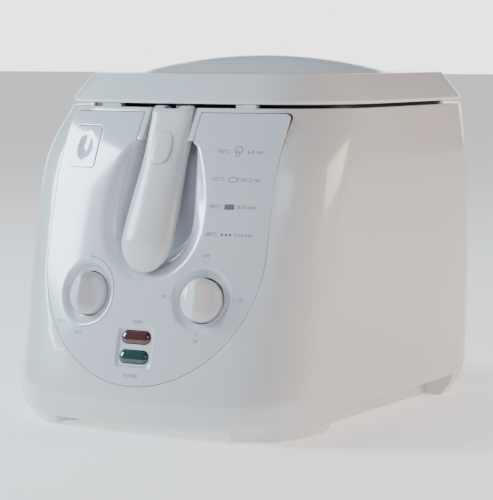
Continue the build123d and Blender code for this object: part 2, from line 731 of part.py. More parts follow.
def heating_element():
    z = BOWL_FLOOR_Z - HEATER_PLATE - HEATER_TUBE - 0.1
    ring = Pos(0, BOWL_Y, z) * Torus(HEATER_RADIUS, HEATER_TUBE)
    for x in (-10, 10):
        y = BOWL_Y - sqrt(HEATER_RADIUS**2 - x**2)
        ring += Pos(x, y, z) * Rot(90, 0, 0) * Cylinder(2.4, 7, align=MIN_Z)
    return ring


def thermal_cutout():
    z = BOWL_FLOOR_Z - HEATER_PLATE
    can = fillet(Cylinder(8, 7, align=MAX_Z).edges().sort_by(Axis.Z)[0], 1.5)
    return Pos(0, BOWL_Y, z) * can


def terminal_block():
    floor = FRONT_ARCH_Z + PAN_FLOOR
    form = block(-60, -20, 62, 82, floor, floor + 18)
    for x in (-53, -40, -27):
        form -= Pos(x, 72, floor + 18) * Cylinder(3, 10)
    return form


def cord_gland():
    flange = Pos(0, 0, 0.2) * Cylinder(GLAND_FLANGE, 1.6, align=MIN_Z)
    tube = Cylinder(GLAND_RADIUS, 24)
    collar = Pos(0, 0, -WALL - 0.7) * Cylinder(GLAND_FLANGE, 2, align=MAX_Z)
    bush = flange + (tube & block(-FAR, FAR, -FAR, FAR, -8, 1)) + collar
    return gland_place() * (bush - Cylinder(GLAND_BORE, 60))


# ---- basket ----
def basket_box(shrink, low, high):
    return bowl_box(-BASKET_GAP - BOWL_WALL - shrink, low, high)


def basket_shell():
    form = basket_box(0, BASKET_FLOOR_Z, BASKET_TOP_Z)
    form = fillet(form.edges().group_by(Axis.Z)[0], 10)
    hollow = basket_box(BASKET_WALL, BASKET_FLOOR_Z + BASKET_WALL, BASKET_TOP_Z + 1)
    return form - fillet(hollow.edges().group_by(Axis.Z)[0], 10 - BASKET_WALL)


def basket_rim():
    low = BASKET_TOP_Z
    outer = basket_box(-BASKET_RIM / 2, low, low + BASKET_RIM)
    return outer - basket_box(BASKET_RIM / 2, low - 1, low + BASKET_RIM + 1)


def basket_front():
    return BOWL_FRONT + BASKET_GAP + BOWL_WALL


def basket_bracket():
    """A strap from the handle's pivot, up and over the bowl's flange, down to the basket's rim."""
    half = TONGUE_HALF
    over_z = RIM_Z + BOWL_WALL + 1.6
    riser_y = PIVOT_Y + BARREL_RADIUS + 2
    inner_y = basket_front() - BASKET_RIM / 2
    eye = Rot(0, 90, 0) * Cylinder(BARREL_RADIUS - 3.6, 2 * half)
    strap = Pos(0, PIVOT_Y, PIVOT_Z) * eye
    strap += block(-half, half, PIVOT_Y, riser_y, PIVOT_Z - 2.5, PIVOT_Z + 2.5)
    strap += block(-half, half, riser_y, riser_y + TONGUE_THICK, PIVOT_Z - 2.5, over_z + TONGUE_THICK)
    strap += block(-half, half, riser_y, inner_y, over_z, over_z + TONGUE_THICK)
    strap += block(-half, half, inner_y - TONGUE_THICK, inner_y, BASKET_TOP_Z, over_z + TONGUE_THICK)
    strap -= Pos(0, PIVOT_Y, PIVOT_Z) * Rot(0, 90, 0) * Cylinder(PIN_RADIUS + PIN_GAP, 40)
    return strap


# ---- lid: cover, liner, seal and filters ----
def dome(inset):
    """The shallow spherical crown of the lid, drawn in by inset."""
    ball = Sphere(DOME_RADIUS - inset)
    crown = Pos(0, DOME_Y, DOME_TOP_Z - DOME_RADIUS) * ball
    return crown & block(-FAR, FAR, -FAR, FAR, LID_SHOULDER_Z - LID_WALL - 3, FAR)


def lid_rear_cut():
    half = HINGE_HALF + 2
    return block(-half, half, HINGE_Y - LID_REAR_GAP, FAR, 0, FAR)


def filter_prism(grow, low, high):
    outline = Ellipse(FILTER_RX + grow, FILTER_RY + grow)
    return Pos(0, DOME_Y, low) * extrude(outline, amount=high - low)


def lid_hollow():
    """The space inside the lid's sloping rim."""
    return tapered([
        (RIM_Z, LID_WALL, LID_Z - 1), (RIM_Z, LID_WALL, LID_Z + LID_LIP),
        (RIM_Z, LID_BEVEL + LID_SLOPE_WALL, LID_SHOULDER_Z - LID_WALL),
    ])


def lid_cover():
    lip_z = LID_Z + LID_LIP
    form = tapered([
        (RIM_Z, 0.6, LID_Z), (RIM_Z, 0, lip_z), (RIM_Z, LID_BEVEL, LID_SHOULDER_Z)
    ])
    form += dome(0) & block(-FAR, FAR, -FAR, FAR, LID_SHOULDER_Z - 0.5, FAR)
    form -= lid_hollow()
    form -= dome(LID_WALL) & block(-FAR, FAR, -FAR, FAR, LID_SHOULDER_Z - LID_WALL - 0.5, FAR)
    form -= lid_rear_cut()
    form -= filter_prism(FILTER_GAP, LID_SHOULDER_Z - 1, FAR)
    return form


def filter_cover():
    cap = (dome(0) - dome(2.0)) & filter_prism(0, LID_SHOULDER_Z, FAR)
    seat = LID_SHOULDER_Z - 1.5
    skirt = (filter_prism(-1, seat, FAR) - filter_prism(-3, seat - 1, FAR)) & dome(1.0)
    return cap + skirt


def lid_liner():
    """The inner plate: it closes the lid, holds the filter frame, and carries the knuckles."""
    plate = tapered([(RIM_Z, LINER_INSET, LINER_Z), (RIM_Z, LINER_INSET + 1.4, LINER_Z + LINER)])
    plate -= lid_rear_cut()
    plate -= filter_prism(-8, LINER_Z - 1, LINER_Z + LINER + 1)
    edge = HINGE_Y - LID_REAR_GAP
    for side in (-1, 1):
        x = side * KNUCKLE_X
        half = KNUCKLE_WIDE / 2
        barrel = Pos(x, HINGE_Y, HINGE_Z) * Rot(0, 90, 0) * Cylinder(KNUCKLE_RADIUS, KNUCKLE_WIDE)
        arm = block(x - half, x + half, edge - 12, HINGE_Y, LINER_Z, LINER_Z + 5)
        plate += barrel + arm
        plate -= Pos(x, HINGE_Y, HINGE_Z) * Rot(0, 90, 0) * Cylinder(PIN_RADIUS + PIN_GAP, 60)
    return plate


def filter_frame():
    low = LINER_Z + LINER
    frame = filter_prism(-1, low, LID_SHOULDER_Z - 1.5)
    frame -= filter_prism(-4, low - 1, FAR)
    shelf = filter_prism(-3.5, low, low + 1) - filter_prism(-8, low - 1, FAR)
    return frame + shelf


def filter_pad(low, thick):
    return filter_prism(-4.4, low, low + thick)


def lid_seal():
    low = RIM_Z + BOWL_WALL + SEAL_CLEAR
    ring = bowl_box(FLANGE / 2 + SEAL_WIDE / 2 - 1, low, LINER_Z)
    ring -= bowl_box(FLANGE / 2 - SEAL_WIDE / 2 - 1, low - 1, LINER_Z + 1)
    notch = TONGUE_HALF + 3
    return ring - block(-notch, notch, -FAR, BOWL_Y, 0, FAR)


def lid_catch():
    y = hook_centre_y() - HOOK_THICK / 2 - 1.5
    half = HOOK_WIDE / 2
    return block(BUTTON_X - half, BUTTON_X + half, -FAR, y, LID_Z + 1.5, LINER_Z) & lid_hollow()


def lid_rests():
    """Two soft stops on the rim shelf that the lid's edge closes on."""
    pads = []
    for side in (-1, 1):
        y = front_y(REST_X, RIM_Z)
        pads.append(block(side * REST_X - 8, side * REST_X + 8, y + 1, y + 7, RIM_Z, LID_Z - 0.4))
    return pads


def hinge_pins():
    rod = Rot(0, 90, 0) * Cylinder(PIN_RADIUS, PIN_LONG - 2)
    return [Pos(side * KNUCKLE_X, HINGE_Y, HINGE_Z) * rod for side in (-1, 1)]


def as_group(shapes):
    return Compound(children=[Solid(s.solids()[0].wrapped) for s in shapes])


front_shell, rear_shell = handle_shells()
pieces["outer_housing"] = outer_housing()
pieces["base_pan"] = base_pan()
pieces["foot_pads"] = as_group(foot_pads())
pieces["base_screws"] = as_group(base_screws())
pieces["control_panel"] = control_panel()
pieces["thermostat_knob"] = knob(-1)
pieces["thermostat_shaft"] = knob_shaft(-1)
pieces["thermostat_case"] = drive_case(-1)
pieces["timer_knob"] = knob(1)
pieces["timer_shaft"] = knob_shaft(1)
pieces["timer_case"] = drive_case(1)
pieces["red_lens"] = lens(RED_Z)
pieces["green_lens"] = lens(GREEN_Z)
pieces["neon_lamps"] = as_group(neon_lamps())
pieces["lamp_holder"] = lamp_holder()
pieces["lid_release_button"] = lid_release_button()
pieces["latch_hook"] = latch_hook()
pieces["release_spring"] = release_spring()
pieces["handle_front_shell"] = front_shell
pieces["handle_rear_shell"] = rear_shell
pieces["handle_catch"] = handle_catch()
pieces["handle_pivot_pin"] = handle_pivot_pin()
pieces["oil_bowl"] = oil_bowl()
pieces["heat_shield"] = heat_shield()
pieces["heater_plate"] = heater_plate()
pieces["heating_element"] = heating_element()
pieces["thermal_cutout"] = thermal_cutout()
pieces["terminal_block"] = terminal_block()
pieces["cord_gland"] = cord_gland()
pieces["basket_shell"] = basket_shell()
pieces["basket_rim"] = basket_rim()
pieces["basket_bracket"] = basket_bracket()
pieces["lid_cover"] = lid_cover()
pieces["filter_cover"] = filter_cover()
pieces["lid_liner"] = lid_liner()
pieces["filter_frame"] = filter_frame()
pieces["grease_filter"] = filter_pad(LINER_Z + LINER + 1, 4)
pieces["charcoal_filter"] = filter_pad(LINER_Z + LINER + 5.3, 6)
pieces["lid_seal"] = lid_seal()
pieces["lid_catch"] = lid_catch()
pieces["lid_rests"] = as_group(lid_rests())
pieces["hinge_pins"] = as_group(hinge_pins())

os.makedirs("parts", exist_ok=True)
for node, shape in pieces.items():
    export_step(shape, f"parts/{node}.step")
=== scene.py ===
import json
import math

import bmesh
import bpy
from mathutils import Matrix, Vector


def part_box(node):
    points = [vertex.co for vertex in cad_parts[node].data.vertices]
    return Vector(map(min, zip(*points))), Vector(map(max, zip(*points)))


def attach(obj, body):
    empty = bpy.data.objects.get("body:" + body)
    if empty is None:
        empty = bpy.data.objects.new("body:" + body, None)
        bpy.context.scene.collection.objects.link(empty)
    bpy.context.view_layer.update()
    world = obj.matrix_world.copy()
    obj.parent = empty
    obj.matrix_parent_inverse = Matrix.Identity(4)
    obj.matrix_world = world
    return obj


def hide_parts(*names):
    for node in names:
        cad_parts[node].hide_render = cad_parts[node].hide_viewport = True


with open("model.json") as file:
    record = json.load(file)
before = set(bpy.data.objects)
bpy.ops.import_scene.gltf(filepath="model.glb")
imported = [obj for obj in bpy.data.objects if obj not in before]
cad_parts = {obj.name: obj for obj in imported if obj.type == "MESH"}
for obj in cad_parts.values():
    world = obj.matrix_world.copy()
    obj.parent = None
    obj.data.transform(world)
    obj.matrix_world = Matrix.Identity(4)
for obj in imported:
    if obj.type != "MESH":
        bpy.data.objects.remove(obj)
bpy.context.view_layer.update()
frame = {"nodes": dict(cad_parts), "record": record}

# ---------------------------------------------------------------- setting
# The fryer stands on a plain pale floor, seen from its front right corner at just above its own height.
# A large cool light stands to the left, like a window, and a weak warm one fills from the right.

VIEW_TURN = math.radians(30.3)
VIEW_RISE = math.radians(5.0)
VIEW_FAR = 1.6325
aim = Vector((0.0, 0.0, 0.130))
away = Vector((
    math.sin(VIEW_TURN) * math.cos(VIEW_RISE),
    -math.cos(VIEW_TURN) * math.cos(VIEW_RISE),
    math.sin(VIEW_RISE),
))
bpy.ops.object.select_all(action="DESELECT")
bpy.ops.object.camera_add(location=aim + away * VIEW_FAR)
camera = bpy.context.object
camera.rotation_euler = away.to_track_quat("Z", "Y").to_euler()
camera.data.lens = 153.3
camera.data.sensor_width = 36.0
camera.data.shift_x = -0.0084
camera.data.shift_y = -0.0292
camera.data.clip_start = 0.05
bpy.context.scene.camera = camera

bpy.ops.mesh.primitive_plane_add(size=40.0, location=(0, 0, 0))
floor = bpy.context.object
floor.name = "studio_floor"
floor_finish = bpy.data.materials.new("pale_floor")
floor_finish.use_nodes = True
floor_finish.node_tree.nodes["Principled BSDF"].inputs["Base Color"].default_value = (0.93, 0.93, 0.93, 1)
floor_finish.node_tree.nodes["Principled BSDF"].inputs["Roughness"].default_value = 0.9
floor_finish.node_tree.nodes["Principled BSDF"].inputs["Emission Color"].default_value = (1, 1, 1, 1)
floor_finish.node_tree.nodes["Principled BSDF"].inputs["Emission Strength"].default_value = 0.55
floor.data.materials.append(floor_finish)


def soft_light(name, place, size, power, tint):
    """A rectangular studio light that faces the middle of the fryer."""
    bpy.ops.object.light_add(type="AREA", location=place)
    light = bpy.context.object
    light.name = name
    light.data.shape = "RECTANGLE"
    light.data.size, light.data.size_y = size
    light.data.energy = power
    light.data.color = tint
    light.rotation_euler = (Vector(place) - Vector((0, 0, 0.12))).to_track_quat("Z", "Y").to_euler()


soft_light("window_light", (-1.86, -0.96, 0.98), (0.86, 0.90), 76.0, (0.62, 0.86, 1.0))
soft_light("front_light", (0.7, -2.2, 1.3), (1.0, 0.7), 9.0, (0.72, 0.76, 1.0))
soft_light("warm_fill", (2.2, 0.5, 0.8), (1.2, 0.9), 34.0, (1.0, 0.76, 0.57))
soft_light("top_light", (-0.3, 0.8, 2.1), (1.2, 1.2), 12.0, (0.82, 0.90, 1.0))

# The room is cool and bright to the left, warm and dimmer to the right, and a lit paper backdrop
# stands low behind.
world = bpy.data.worlds.new("studio_air")
bpy.context.scene.world = world
world.use_nodes = True
room = world.node_tree.nodes
facing = room.new("ShaderNodeTexCoord")
parts = room.new("ShaderNodeSeparateXYZ")
wash = room.new("ShaderNodeValToRGB")
wash.color_ramp.elements[0].position = 0.0
wash.color_ramp.elements[0].color = (0.55, 0.85, 1.0, 1)
wash.color_ramp.elements[1].position = 1.0
wash.color_ramp.elements[1].color = (0.50, 0.36, 0.26, 1)
for place, colour in (
    (0.22, (0.78, 0.90, 1.0, 1)),
    (0.50, (0.34, 0.34, 0.50, 1)),
    (0.70, (0.40, 0.33, 0.29, 1)),
):
    stop = wash.color_ramp.elements.new(place)
    stop.color = colour
spread = room.new("ShaderNodeMapRange")
spread.inputs["From Min"].default_value = -1.0
spread.inputs["From Max"].default_value = 1.0
backdrop = room.new("ShaderNodeVectorMath")
backdrop.operation = "DOT_PRODUCT"
backdrop.inputs[1].default_value = (-0.5, 0.86, 0.0)
behind = room.new("ShaderNodeMapRange")
behind.inputs["From Min"].default_value = 0.80
behind.inputs["From Max"].default_value = 0.92
height = room.new("ShaderNodeMath")
height.operation = "ABSOLUTE"
low_band = room.new("ShaderNodeMapRange")
low_band.inputs["From Min"].default_value = 0.14
low_band.inputs["From Max"].default_value = 0.06
both = room.new("ShaderNodeMath")
both.operation = "MULTIPLY"
paper = room.new("ShaderNodeMix")
paper.data_type = "RGBA"
paper.inputs[7].default_value = (6.0, 6.0, 6.0, 1)
joins = world.node_tree.links
joins.new(facing.outputs["Generated"], parts.inputs["Vector"])
joins.new(facing.outputs["Generated"], backdrop.inputs[0])
joins.new(parts.outputs["X"], spread.inputs["Value"])
joins.new(parts.outputs["Z"], height.inputs[0])
joins.new(spread.outputs["Result"], wash.inputs["Fac"])
joins.new(backdrop.outputs["Value"], behind.inputs["Value"])
joins.new(height.outputs["Value"], low_band.inputs["Value"])
joins.new(behind.outputs["Result"], both.inputs[0])
joins.new(low_band.outputs["Result"], both.inputs[1])
joins.new(both.outputs["Value"], paper.inputs[0])
joins.new(wash.outputs["Color"], paper.inputs[6])
joins.new(paper.outputs[2], room["Background"].inputs["Color"])
room["Background"].inputs["Strength"].default_value = 0.50

# ---------------------------------------------------------------- outer housing
# A one-piece glossy polypropylene moulding: bowed walls, a shelf inside the rim, a slot for the
# handle and a block at the rear for the lid's hinge. Screwed to the base pan from below.

MM = 0.001


def surface_group(name, build):
    """A shared surface effect as a shader node group with a Scale input."""
    group = bpy.data.node_groups.new(name, "ShaderNodeTree")
    group.interface.new_socket("Scale", in_out="INPUT", socket_type="NodeSocketFloat")
    group.interface.new_socket("Fine", in_out="OUTPUT", socket_type="NodeSocketFloat")
    group.interface.new_socket("Broad", in_out="OUTPUT", socket_type="NodeSocketFloat")
    build(group)
    return group


def build_moulded(group):
    """Fine: the faint orange peel of a moulded face. Broad: slow handling marks over it."""
    nodes, links = group.nodes, group.links
    entry = nodes.new("NodeGroupInput")
    leave = nodes.new("NodeGroupOutput")
    place = nodes.new("ShaderNodeTexCoord")
    peel = nodes.new("ShaderNodeTexNoise")
    marks = nodes.new("ShaderNodeTexNoise")
    peel.inputs["Detail"].default_value = 3.0
    marks.inputs["Scale"].default_value = 14.0
    marks.inputs["Detail"].default_value = 6.0
    marks.inputs["Roughness"].default_value = 0.65
    links.new(place.outputs["Object"], peel.inputs["Vector"])
    links.new(place.outputs["Object"], marks.inputs["Vector"])
    links.new(entry.outputs["Scale"], peel.inputs["Scale"])
    links.new(peel.outputs["Fac"], leave.inputs["Fine"])
    links.new(marks.outputs["Fac"], leave.inputs["Broad"])


moulded_face = surface_group("moulded_face", build_moulded)


def finish(name, colour, shade, rough, metal=0.0, peel=450.0, bump=0.02, coat=0.0, through=0.0, clear=0.0):
    """A surface finish: two close tones, a roughness that varies, and a fine relief."""
    material = bpy.data.materials.new(name)
    material.use_nodes = True
    tree = material.node_tree
    shader = tree.nodes["Principled BSDF"]
    face = tree.nodes.new("ShaderNodeGroup")
    face.node_tree = moulded_face
    face.inputs["Scale"].default_value = peel
    tone = tree.nodes.new("ShaderNodeMix")
    tone.data_type = "RGBA"
    tone.inputs[6].default_value = (*colour, 1)
    tone.inputs[7].default_value = (*[c * shade for c in colour], 1)
    gloss = tree.nodes.new("ShaderNodeMapRange")
    gloss.inputs["From Min"].default_value = 0.35
    gloss.inputs["From Max"].default_value = 0.7
    gloss.inputs["To Min"].default_value = rough * 0.85
    gloss.inputs["To Max"].default_value = rough * 1.3
    relief = tree.nodes.new("ShaderNodeBump")
    relief.inputs["Strength"].default_value = bump
    relief.inputs["Distance"].default_value = 0.0004
    tree.links.new(face.outputs["Broad"], tone.inputs[0])
    tree.links.new(tone.outputs[2], shader.inputs["Base Color"])
    tree.links.new(face.outputs["Broad"], gloss.inputs["Value"])
    tree.links.new(gloss.outputs["Result"], shader.inputs["Roughness"])
    tree.links.new(face.outputs["Fine"], relief.inputs["Height"])
    tree.links.new(relief.outputs["Normal"], shader.inputs["Normal"])
    shader.inputs["Metallic"].default_value = metal
    shader.inputs["Coat Weight"].default_value = coat
    shader.inputs["Coat Roughness"].default_value = 0.08
    shader.inputs["Subsurface Weight"].default_value = through
    shader.inputs["Subsurface Radius"].default_value = (0.004, 0.004, 0.004)
    shader.inputs["Transmission Weight"].default_value = clear
    return material


def take_solid(node, name, soften, segments=3, sharp=32.0):
    """A copy of a CAD piece with its loose triangles joined and its edges rounded like a moulding's."""
    bpy.ops.object.select_all(action="DESELECT")
    piece = bpy.data.objects.new(name, frame["nodes"][node].data.copy())
    bpy.context.scene.collection.objects.link(piece)
    piece.data.materials.clear()
    bpy.context.view_layer.objects.active = piece
    piece.select_set(True)
    bpy.ops.object.mode_set(mode="EDIT")
    bpy.ops.mesh.select_all(action="SELECT")
    bpy.ops.mesh.remove_doubles(threshold=0.00001)
    bpy.ops.mesh.dissolve_limited(angle_limit=math.radians(0.4))
    bpy.ops.object.mode_set(mode="OBJECT")
    if soften > 0:
        bevel = piece.modifiers.new("moulded_edges", "BEVEL")
        bevel.width = soften
        bevel.segments = segments
        bevel.limit_method = "ANGLE"
        bevel.angle_limit = math.radians(sharp)
        bevel.use_clamp_overlap = True
        bpy.ops.object.modifier_apply(modifier=bevel.name)
    bpy.ops.object.shade_smooth_by_angle(angle=math.radians(sharp))
    return piece


def settle(piece, body, slot, material, *nodes):
    """Give a finished piece its material and the body it rides on, and hide the CAD nodes it stands for.
    """
    if material is not None:
        piece.data.materials.clear()
        piece.data.materials.append(material)
    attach(piece, body)
    if nodes:
        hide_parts(*nodes)
    return piece


white_gloss = finish("white_housing", (0.68, 0.67, 0.66), 0.97, 0.20, bump=0.015, coat=0.7, through=0.03)
housing = take_solid("outer_housing", "housing_shell", 0.9 * MM)
settle(housing, "housing", "housing_white", white_gloss, "outer_housing")

# ---------------------------------------------------------------- base pan
# The lower moulding: a shallow tray that tucks in under the housing and stands on four broad feet,
# with high arches at the sides to lift the fryer by.

pan_white = finish("white_pan", (0.69, 0.68, 0.675), 0.95, 0.24, bump=0.02, coat=0.2, through=0.03)
pan = take_solid("base_pan", "base_tray", 2.2 * MM)
settle(pan, "housing", "pan_white", pan_white, "base_pan")

# ---------------------------------------------------------------- feet, screws and gland
# Four rubber pads pressed into the feet, four cross-slotted screws above them, and the rubber bush
# in the rear wall that the mains lead would leave by.

foot_rubber = finish("foot_rubber", (0.23, 0.23, 0.23), 0.8, 0.75, peel=900, bump=0.25)
plated_steel = finish("plated_steel", (0.58, 0.58, 0.57), 0.85, 0.30, metal=1.0, peel=700, bump=0.05)
feet = take_solid("foot_pads", "rubber_feet", 0.5 * MM)
settle(feet, "housing", "rubber_grey", foot_rubber, "foot_pads")
bush = take_solid("cord_gland", "lead_bush", 0.5 * MM)
settle(bush, "housing", "rubber_grey", foot_rubber, "cord_gland")

# ---------------------------------------------------------------- front panel
# A separate glossy moulding, clipped into the housing from inside. One smooth skin carries the finger
# recess behind the handle, the two dished knob wells and the shallow pocket for the pilot lights.

housing_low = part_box("outer_housing")[0]
panel_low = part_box("control_panel")[0]
bowl_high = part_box("oil_bowl")[1]
SEAM = housing_low.z
RIM = bowl_high.z - 1.6 * MM
SHOULDER = SEAM + 0.7 * (RIM - SEAM)
FRONT_BOW = 404 * MM
FRONT_LEAN = 50.5 * MM
FRONT_TURN = 12.0 * MM
PANEL_HALF = 91.5 * MM
PANEL_ROUND = 128.0 * MM
PANEL_TOP = 227.0 * MM
PANEL_THICK = 2.4 * MM
NOTCH_HALF = 23.6 * MM
NOTCH_LOW = 207.4 * MM
RECESS_DEEP = 23.6 * MM
BORDER_DEEP = 6.4 * MM
RECESS_ROUND_Z = 152.0 * MM
RECESS_TOP_Z = 205.0 * MM
MOUTH = (43.2 * MM, 40.6 * MM, 27.5 * MM, 43.6 * MM)
THROAT = (29.5 * MM, 27.6 * MM, 23.6 * MM, 36.0 * MM)
BED = (26.3 * MM, 24.6 * MM, 21.4 * MM, 25.6 * MM)
KNOB_X = 48.0 * MM
KNOB_Z = 98.3 * MM
DISH = 23.5 * MM
DISH_FLOOR = 17.2 * MM
DISH_DEEP = 4.6 * MM
WELL = 15.95 * MM


def ramp(value, low, high):
    """0 below low, 1 above high, and a smooth rise between them."""
    t = min(1.0, max(0.0, (value - low) / (high - low)))
    return t * t * (3 - 2 * t)


def front_reach(z):
    """How far forward the front stands on the middle line at a height."""
    turn = max(0.0, (z - SHOULDER) / (RIM - SHOULDER)) ** 2
    return -housing_low.y - FRONT_LEAN * (z - SEAM) / (RIM - SEAM) - FRONT_TURN * turn


def front(x, z):
    """Depth of the housing's bowed, leaning front surface."""
    return FRONT_BOW - front_reach(z) - math.sqrt(FRONT_BOW**2 - x * x)


def swell(run, round_off):
    """0 for a negative run, the run itself when positive, with the corner between them rounded off."""
    if run <= -round_off:
        return 0.0
    if run >= round_off:
        return run
    return (run + round_off) ** 2 / (4 * round_off)


def reach(sizes, x, z):
    """How far one of the recess's outlines lies from its middle line, towards a place."""
    half, waist, top_half, drop = sizes
    if z < RECESS_ROUND_Z:
        a = math.atan2(RECESS_ROUND_Z - z, abs(x))
        return 1 / math.hypot(math.cos(a) / half, math.sin(a) / drop)
    t = min(1.0, (z - RECESS_ROUND_Z) / (RECESS_TOP_Z - RECESS_ROUND_Z))
    return half * (1 - t) * (1 - 2 * t) + 4 * waist * t * (1 - t) + top_half * t * (2 * t - 1)


def recess(x, z):
    """How deep the finger recess is at a place: a gently sloping border, then a steep throat."""
    r = abs(x) if z >= RECESS_ROUND_Z else math.hypot(x, RECESS_ROUND_Z - z)
    mouth, throat, bed = (reach(sizes, x, z) for sizes in (MOUTH, THROAT, BED))
    border = BORDER_DEEP / (mouth - throat)
    wall = (RECESS_DEEP - BORDER_DEEP) / (throat - bed)
    deep = border * swell(mouth - r, 2.4 * MM) + (wall - border) * swell(throat - r, 3.4 * MM)
    deep -= wall * swell(bed - r, 3.0 * MM)
    beside = ramp(abs(x), 20.5 * MM, 24.5 * MM)
    roof = ramp(206.5 * MM - z, 0.0, 4 * MM)
    return deep * (1 - beside * (1 - roof))


def dish(x, z):
    """How deep the dished wells round the two knobs are."""
    r = math.hypot(abs(x) - KNOB_X, (z - KNOB_Z) * 1.03)
    return DISH_DEEP * (1 - ramp(r, DISH_FLOOR, DISH))


def pocket(x, z):
    """The shallow round-cornered pocket for the pilot lights."""
    away_x = max(0.0, abs(x) - 11.0 * MM)
    away_z = max(0.0, abs(z - 63.25 * MM) - 10.2 * MM)
    return 1.5 * MM * (1 - ramp(math.hypot(away_x, away_z), 2.4 * MM, 4.0 * MM))


def panel_face(x, z):
    """Depth of the finished panel face at a place."""
    return front(x, z) + recess(x, z) + dish(x, z) + pocket(x, z)


def cutter(name, points, y0, y1):
    """A prism over a front-view outline, used to cut the panel."""
    bpy.ops.object.select_all(action="DESELECT")
    bpy.ops.mesh.primitive_circle_add(vertices=len(points), fill_type="NGON", rotation=(math.pi / 2, 0, 0))
    prism = bpy.context.object
    prism.name = name
    bpy.ops.object.transform_apply(rotation=True)
    for vertex, (x, z) in zip(prism.data.vertices, points):
        vertex.co = (x, y0, z)
    bpy.ops.object.mode_set(mode="EDIT")
    bpy.ops.mesh.select_all(action="SELECT")
    bpy.ops.mesh.extrude_region_move(TRANSFORM_OT_translate={"value": (0, y1 - y0, 0)})
    bpy.ops.mesh.select_all(action="SELECT")
    bpy.ops.mesh.normals_make_consistent(inside=False)
    bpy.ops.object.mode_set(mode="OBJECT")
    return prism


def carve(piece, tool, operation):
    """Cut a piece with a tool, or keep only what they share, and throw the tool away."""
    cut = piece.modifiers.new("cut", "BOOLEAN")
    cut.operation = operation
    cut.object = tool
    cut.solver = "EXACT"
    bpy.ops.object.select_all(action="DESELECT")
    bpy.context.view_layer.objects.active = piece
    piece.select_set(True)
    bpy.ops.object.modifier_apply(modifier=cut.name)
    bpy.data.objects.remove(tool)


def round_rect(x, z, half_x, half_z, radius, steps=6):
    """Outline of a round-cornered rectangle, as (x, z) points."""
    points = []
    for quarter, (sx, sz) in enumerate(((1, 1), (-1, 1), (-1, -1), (1, -1))):
        for i in range(steps + 1):
            a = (quarter + i / steps) * math.pi / 2
            points.append((
                x + sx * (half_x - radius) + radius * math.cos(a),
                z + sz * (half_z - radius) + radius * math.sin(a),
            ))
    return points


def arc(x, z, radius, start, end, steps):
    """Points on a round arc, by angle in degrees."""
    angles = [math.radians(start + (end - start) * i / steps) for i in range(steps + 1)]
    return [(x + radius * math.cos(a), z + radius * math.sin(a)) for a in angles]


bpy.ops.object.select_all(action="DESELECT")
bpy.ops.mesh.primitive_grid_add(x_subdivisions=180, y_subdivisions=186, size=1.0)
panel = bpy.context.object
panel.name = "front_panel"
low_z = panel_low.z
for vertex in panel.data.vertices:
    x = vertex.co.x * 2 * (PANEL_HALF + 1 * MM)
    z = low_z + (vertex.co.y + 0.5) * (PANEL_TOP + 1 * MM - low_z)
    vertex.co = (x, panel_face(x, z), z)
bpy.ops.object.mode_set(mode="EDIT")
bpy.ops.mesh.select_all(action="SELECT")
bpy.ops.mesh.extrude_region_move(TRANSFORM_OT_translate={"value": (0, PANEL_THICK, 0)})
bpy.ops.mesh.select_all(action="SELECT")
bpy.ops.mesh.normals_make_consistent(inside=False)
bpy.ops.object.mode_set(mode="OBJECT")
outline = arc(0, PANEL_ROUND, PANEL_HALF, 180, 360, 72)
outline += arc(PANEL_HALF - 4 * MM, PANEL_TOP - 4 * MM, 4 * MM, 0, 90, 5)
outline += arc(-PANEL_HALF + 4 * MM, PANEL_TOP - 4 * MM, 4 * MM, 90, 180, 5)
carve(panel, cutter("panel_edge", outline, -0.2, -0.06), "INTERSECT")
carve(panel, cutter("notch", [
    (-NOTCH_HALF, 0.24), (-NOTCH_HALF, NOTCH_LOW), (NOTCH_HALF, NOTCH_LOW), (NOTCH_HALF, 0.24)
], -0.2, -0.05), "DIFFERENCE")
button_low, button_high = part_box("lid_release_button")
button_x = (button_low.x + button_high.x) / 2
button_z = (button_low.z + button_high.z) / 2
button_half_x = (button_high.x - button_low.x) / 2
button_half_z = (button_high.z - button_low.z) / 2
carve(panel, cutter("button_hole", round_rect(
    button_x, button_z, button_half_x + 0.5 * MM, button_half_z + 0.5 * MM, 3.4 * MM
), -0.2, -0.06), "DIFFERENCE")
for side in (-1, 1):
    well = arc(side * (KNOB_X - 0.55 * MM), KNOB_Z - 1.0 * MM, WELL, 0, 354, 59)
    carve(panel, cutter("knob_hole", well, -0.2, -0.06), "DIFFERENCE")
LENS_HALF = 12.0 * MM
LENS_ROUND = 4.5 * MM
for node in ("red_lens", "green_lens"):
    lens_low, lens_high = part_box(node)
    z = (lens_low.z + lens_high.z) / 2
    slot_outline = round_rect(0, z, LENS_HALF + 0.4 * MM, LENS_ROUND + 0.4 * MM, LENS_ROUND + 0.35 * MM)
    carve(panel, cutter("lens_hole", slot_outline, -0.2, -0.06), "DIFFERENCE")
edge = panel.modifiers.new("edge_round", "BEVEL")
edge.width = 0.5 * MM
edge.segments = 2
edge.limit_method = "ANGLE"
edge.angle_limit = math.radians(50)
bpy.ops.object.modifier_apply(modifier=edge.name)
bpy.ops.object.shade_smooth_by_angle(angle=math.radians(35))
panel_white = finish("white_panel", (0.64, 0.63, 0.66), 0.97, 0.15, bump=0.012, coat=1.0, through=0.03)
settle(panel, "housing", "panel_white", panel_white, "control_panel")

# ---------------------------------------------------------------- pilot lights
# Two round-ended lenses in tinted polycarbonate, pushed through the panel from behind, each with a
# domed face. A neon lamp stands behind each one.

